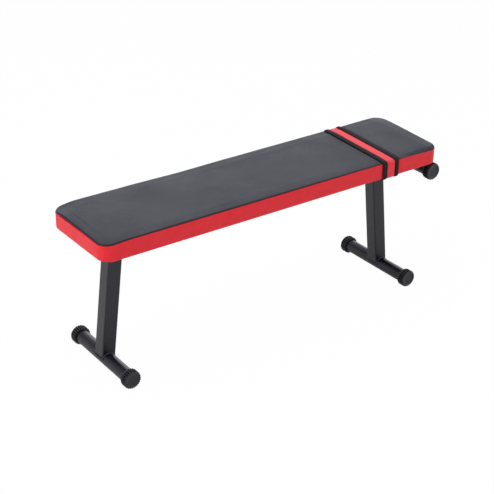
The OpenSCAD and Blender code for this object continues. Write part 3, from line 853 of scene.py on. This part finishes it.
def staples():
    """Staples along the lap, each a bent flat wire whose legs end in the board."""
    spacing, inset = 34, 17
    crown, wire, thick = 10, 1.3, 0.5       # a staple's length, and its wire's two widths
    leg_end, shoulder, chamfer = 1.2, 0.15, 0.7
    most_tilt, tilt_length = 0.35, 11       # how far their angles stray, and over what length
    path = ring(inset, PAD_Z)
    step = np.linalg.norm(np.roll(path, -1, axis=0) - path, axis=1)
    run = np.concatenate([[0], step.cumsum()])
    count = int(run[-1] / spacing)
    # The wire's outer line from one leg's end over the crown to the other's
    half = crown / 2
    line = [(-half, leg_end), (-half, -shoulder), (chamfer - half, -thick),
            (half - chamfer, -thick), (half, -shoulder), (half, leg_end)]
    verts, faces = [], []
    for s in np.arange(count) * run[-1] / count:
        i = int(np.searchsorted(run, s, side="right") - 1) % RING
        a = path[i] + (path[(i + 1) % RING] - path[i]) * (s - run[i]) / step[i]
        n = OUTWARD[i]
        tilt = most_tilt * noise.noise(Vector((s / tilt_length, 0, 0)))
        along = np.array((-n[1], n[0], 0)) * math.cos(tilt) + np.array((*n, 0)) * math.sin(tilt)
        across = np.cross((0, 0, 1), along)
        base = len(verts)
        for x, z in line:
            inner_x = x - math.copysign(thick, x)
            for side in (-wire / 2, wire / 2):
                verts.append(a + along * x + across * side + (0, 0, z))
                verts.append(a + along * inner_x + across * side + (0, 0, min(z + thick, leg_end)))
        for k in range(len(line) - 1):
            p, q = base + 4 * k, base + 4 * (k + 1)
            faces += [(p + 2, q + 2, q, p), (p + 3, q + 3, q + 2, p + 2),
                      (p + 1, q + 1, q + 3, p + 3), (p, q, q + 1, p + 1)]
        end = base + 4 * (len(line) - 1)
        faces += [(base + 1, base + 3, base + 2, base), (end + 2, end + 3, end + 1, end)]
    add_piece("lap_staples", verts, faces, "zinc_steel", smooth=False)


staples()


# ---------- ribbed caps ----------

RIBS, RIB_STEPS = 24, 12
RIB_POWER = 1.4          # over 1 it narrows the ribs
# Along a cap from its mouth: distance, radius in the grooves, radius on the ribs
CAP_SHAPE = [(0.0, 20.8, 23.4), (0.5, 21.2, 24.8), (1.5, 21.4, 25.4), (3.2, 21.4, 25.5),
             (11.0, 21.4, 25.5), (17.6, 21.4, 25.5), (19.4, 21.4, 25.4), (20.3, 21.6, 24.8),
             (20.7, 22.4, 23.8), (20.8, 23.0, 23.0), (21.3, 22.9, 22.9), (21.8, 22.4, 22.4),
             (22.0, 21.7, 21.7), (22.0, 20.3, 20.3), (21.5, 19.8, 19.8), (21.5, 9.0, 9.0)]
CAP_BORE = [(18.0, 9.0), (18.0, 19.1), (0.4, 19.1), (0.0, 19.6)]    # back out: distance, radius


def ribbed_cap(node, body):
    """Rubber cap with rounded ribs and grooves between them, a rib straight down."""
    low, high = box(node)
    middle = (low + high) / 2
    mouth, outward = (low[1], 1) if middle[1] > 0 else (high[1], -1)
    n = RIBS * RIB_STEPS
    turn = 2 * math.pi * np.arange(n) / n
    on_rib = np.abs(np.cos(turn * RIBS / 2)) ** RIB_POWER
    sections = [(u, root + (crest - root) * on_rib) for u, root, crest in CAP_SHAPE]
    sections += [(u, np.full(n, r)) for u, r in CAP_BORE]
    verts = np.concatenate([
        np.column_stack([middle[0] + r * np.sin(turn), np.full(n, mouth + outward * u),
                         middle[2] - r * np.cos(turn)]) for u, r in sections])
    i = np.arange(n)
    j = (i + 1) % n
    face, back = (len(CAP_SHAPE) - 1) * n, len(CAP_SHAPE) * n
    faces = []
    for k in range(len(sections)):
        a, b = k * n, (k + 1) % len(sections) * n
        if a != face:
            faces += np.column_stack([a + i, a + j, b + j, b + i]).tolist()
    faces += [(face + i).tolist(), (back + i[::-1]).tolist()]
    if outward > 0:
        faces = [f[::-1] for f in faces]
    piece = add_piece(node + "_rubber", verts, faces, "cap_rubber", body)
    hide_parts(node)


for end in ("front", "back"):
    ribbed_cap("end_bar_%s_cap" % end, "frame")
    for leg in ("left", "right"):
        ribbed_cap("%s_%s_foot_cap" % (leg, end), leg + "_leg")


# ---------- weld beads ----------

BEAD_SIDES = 8
BEAD_STEP = 0.8          # spacing of the rings along a bead
RIPPLE_PITCH = 3.1
RIPPLE, STRAY = 0.10, 0.07      # shares of its radius by which a bead ripples and strays
TAPER = 0.35             # the share of its radius at an open bead's ends, and its growth per ring
ASKEW = (0.31, 0.27, 0.91)      # a direction that no bead runs along


def bead_line(points, closed):
    """Evenly spaced points along a path, the unit directions there, and the distances run."""
    points = np.array(points, dtype=float)
    if closed:
        points = np.concatenate([points, points[:1]])
    step = np.linalg.norm(np.diff(points, axis=0), axis=1)
    run = np.concatenate([[0], step.cumsum()])
    at = np.linspace(0, run[-1], max(6, int(run[-1] / BEAD_STEP)) + 1)
    line = np.column_stack([np.interp(at, run, points[:, k]) for k in range(3)])
    if closed:
        line = line[:-1]
    ahead = np.roll(line, -1, axis=0) - np.roll(line, 1, axis=0)
    if not closed:
        ahead[0], ahead[-1] = line[1] - line[0], line[-1] - line[-2]
    return line, ahead / np.linalg.norm(ahead, axis=1)[:, None], at


def bead_mesh(paths, radius):
    """Rippled beads along paths, each a list of points in millimetres and True if closed."""
    verts, faces = [], []
    for points, closed in paths:
        line, ahead, at = bead_line(points, closed)
        base = len(verts)
        for i, (p, t) in enumerate(zip(line, ahead)):
            u = np.cross(t, ASKEW)
            u /= np.linalg.norm(u)
            v = np.cross(t, u)
            phase = at[i] / RIPPLE_PITCH
            ripple = 1 + RIPPLE * (phase - math.floor(phase) - 0.5)
            ripple += STRAY * noise.noise(Vector(p) / 4)
            taper = 1.0 if closed else min(1.0, TAPER + TAPER * min(i, len(line) - 1 - i))
            for k in range(BEAD_SIDES):
                a = 2 * math.pi * k / BEAD_SIDES
                verts.append(p + radius * ripple * taper * (math.cos(a) * u + math.sin(a) * v))
        n = len(line)
        for i in range(n if closed else n - 1):
            a, b = base + i * BEAD_SIDES, base + (i + 1) % n * BEAD_SIDES
            for k in range(BEAD_SIDES):
                m = (k + 1) % BEAD_SIDES
                faces.append((a + k, a + m, b + m, b + k))
        if not closed:
            faces.append(tuple(base + k for k in range(BEAD_SIDES))[::-1])
            faces.append(tuple(base + (n - 1) * BEAD_SIDES + k for k in range(BEAD_SIDES)))
    return verts, faces


def rounded_rectangle(half_a, half_b, r):
    """Points of a rounded rectangle's corners, anticlockwise."""
    points = []
    for q, (sa, sb) in enumerate([(1, 1), (-1, 1), (-1, -1), (1, -1)]):
        for t in np.radians(np.linspace(0, 90, 6)) + q * math.pi / 2:
            points.append((sa * (half_a - r) + r * math.cos(t),
                           sb * (half_b - r) + r * math.sin(t)))
    return points


def densify(points):
    """A closed line's points with others between them, about 1.5 mm apart."""
    out = []
    for a, b in zip(points, points[1:] + points[:1]):
        a, b = np.array(a), np.array(b)
        n = max(1, int(np.linalg.norm(b - a) / 1.5))
        out += [a + (b - a) * i / n for i in range(n)]
    return out


LEAN = math.radians(6.5)
LEG_HALF, LEG_R, RAIL_R = 20, 3.5, 2.6  # half a leg tube's width, and the tubes' corner radii
TUBE_R = 19              # radius of the foot tubes and the end bar
LEG_BEAD, FRAME_BEAD = 2.4, 2.0         # the beads' radii
PROUD = 0.3              # how far a bead's middle stands off the corner that it fills
SADDLE_LOW = 3.8         # height over the foot's axis at which the leg's saddle ends
BEAD_GAP = 2             # how far from a rail's edges the beads across it end


def leg_welds(side):
    """Bead round the saddle where the square leg is coped over its round foot."""
    foot_low, foot_high = box(side + "_foot_tube")
    middle = (foot_low + foot_high) / 2
    lean = LEAN if side == "left" else -LEAN
    half = LEG_HALF + PROUD
    points = []
    for a, b in densify(rounded_rectangle(half, half, LEG_R)):
        s = max(math.sqrt(max(TUBE_R ** 2 - a * a, 0.0)), SADDLE_LOW)
        points.append(middle + np.array((a * math.cos(lean) + s * math.sin(lean), b,
                                         s * math.cos(lean) - a * math.sin(lean))))
    verts, faces = bead_mesh([(points, True)], LEG_BEAD)
    add_piece(side + "_leg_weld", verts, faces, "black_paint", side + "_leg")


def rail_paths(rail):
    """Beads where a rail meets the end bar, below the bar's upper side, and each cross strap."""
    bar_low, bar_high = box("end_bar")
    bar = (bar_low + bar_high) / 2
    low, high = box(rail)
    y_mid, z_mid = (low[1] + high[1]) / 2, (low[2] + high[2]) / 2
    line = []
    for a, b in densify(rounded_rectangle(high[1] - y_mid, high[2] - z_mid, RAIL_R)):
        y, z = y_mid + a, z_mid + b
        if z < bar[2] + TUBE_R - 2 * PROUD:
            line.append((bar[0] - math.sqrt(TUBE_R ** 2 - (z - bar[2]) ** 2), y, z))
    line.sort(key=lambda p: math.atan2(p[1] - y_mid, p[2] - z_mid) % (2 * math.pi))
    paths = [(line, False)]
    for strap in ("left_strap", "middle_strap", "right_strap"):
        strap_low, strap_high = box(strap)
        z = strap_low[2] + PROUD
        for x in (strap_low[0], strap_high[0]):
            paths.append(([(x, low[1] + BEAD_GAP, z), (x, high[1] - BEAD_GAP, z)], False))
    return paths


def bracket_paths(bracket):
    """Beads along a hinge bracket's feet under the rails, and up the ends of its ears."""
    half_length, end_gap = 30, 3
    low, high = box(bracket)
    rail_z = box("front_rail")[0][2]
    x_mid = (low[0] + high[0]) / 2
    paths = []
    for side in (-1, 1):
        y, z = side * (high[1] + 0.4), rail_z + 2 * PROUD
        paths.append(([(x_mid - half_length, y, z), (x_mid + half_length, y, z)], False))
        y = side * (high[1] - 2 * PROUD)
        paths += [([(x, y, rail_z + end_gap), (x, y, high[2] - end_gap)], False)
                  for x in (low[0], high[0])]
    return paths


def frame_welds():
    paths = rail_paths("front_rail") + rail_paths("back_rail")
    paths += bracket_paths("left_hinge_bracket") + bracket_paths("right_hinge_bracket")
    verts, faces = bead_mesh(paths, FRAME_BEAD)
    add_piece("frame_welds", verts, faces, "black_paint")


leg_welds("left")
leg_welds("right")
frame_welds()


# ---------- floor, sky and lamps ----------

def light_path(n):
    """The light path's outputs, and 1 for a ray that shows what is mirrored or seen through."""
    ray = n.add("ShaderNodeLightPath").outputs
    return ray, n.math("MAXIMUM", ray["Is Glossy Ray"], ray["Is Transmission Ray"])


FLOOR_HALF = 40.0        # metres
FLOOR_GLOW = 0.985       # share of plain white in the floor that the camera sees
FLOOR_MIRRORED = 0.3     # and in the floor that glossy surfaces mirror


def make_floor():
    s = FLOOR_HALF
    mesh = bpy.data.meshes.new("floor")
    mesh.from_pydata([(-s, -s, 0), (s, -s, 0), (s, s, 0), (-s, s, 0)], [], [(0, 1, 2, 3)])
    material, n = new_material("floor")
    ray, mirrored = light_path(n)
    paper = n.add("ShaderNodeBsdfDiffuse", {"Color": (0.8, 0.8, 0.8, 1)})
    glow = n.add("ShaderNodeEmission", {"Color": (1, 1, 1, 1), "Strength": 1.0})
    share = n.math("MAXIMUM", n.math("MULTIPLY", ray["Is Camera Ray"], FLOOR_GLOW),
                   n.math("MULTIPLY", mirrored, FLOOR_MIRRORED))
    mixed = n.add("ShaderNodeMixShader", {0: share, 1: paper.outputs[0], 2: glow.outputs[0]})
    n.add("ShaderNodeOutputMaterial", {"Surface": mixed.outputs[0]})
    mesh.materials.append(material)
    new_object("floor", mesh)


SKY_LIGHT = 0.5          # the sky's strength as a light; where the camera sees it, it is 1
SKY_COOL = (0.975, 0.985, 1.09)     # its tint where glossy surfaces mirror it


def make_sky():
    """Plain white sky, mirrored as a cool wall: bright low down and toward +X, dark overhead."""
    world = bpy.data.worlds.new("sky")
    world.use_nodes = True
    scene.world = world
    n = Nodes(world.node_tree)
    ray, mirrored = light_path(n)
    toward = n.add("ShaderNodeSeparateXYZ", {0: n.add("ShaderNodeTexCoord").outputs["Generated"]})
    by_height = n.span(toward.outputs["Z"], 1.6, 0.35, 0.28, 0.66, "SMOOTHSTEP")
    by_side = n.span(toward.outputs["X"], 0.5, 1.35, -0.6, 0.4, "SMOOTHSTEP")
    wall = n.math("SUBTRACT", n.math("MULTIPLY", by_height, by_side), SKY_LIGHT)
    seen = n.math("MULTIPLY", ray["Is Camera Ray"], 1 - SKY_LIGHT)
    strength = n.math("ADD", SKY_LIGHT, n.math("ADD", seen, n.math("MULTIPLY", mirrored, wall)))
    colour = n.blend(ray["Is Glossy Ray"], (1, 1, 1), SKY_COOL)
    light = n.add("ShaderNodeBackground", {"Color": colour, "Strength": strength})
    n.add("ShaderNodeOutputWorld", {"Surface": light.outputs[0]})


def lamp(name, place, aim, size, watts):
    """Rectangular soft lamp, in metres."""
    data = bpy.data.lights.new(name, "AREA")
    data.shape = "RECTANGLE"
    data.size, data.size_y = size
    data.energy = watts
    turn = (Vector(aim) - Vector(place)).to_track_quat("-Z", "Y").to_matrix().to_4x4()
    new_object(name, data).matrix_world = Matrix.Translation(place) @ turn


make_floor()
make_sky()
lamp("overhead", (-0.2, 0.4, 3.2), aim=(0, 0, 0.3), size=(3.0, 3.0), watts=62)
lamp("left", (-3.2, -0.4, 1.6), aim=(0, 0, 0.35), size=(2.0, 2.0), watts=42)
lamp("front", (0.6, -3.4, 1.8), aim=(0, 0, 0.35), size=(2.4, 2.0), watts=16)
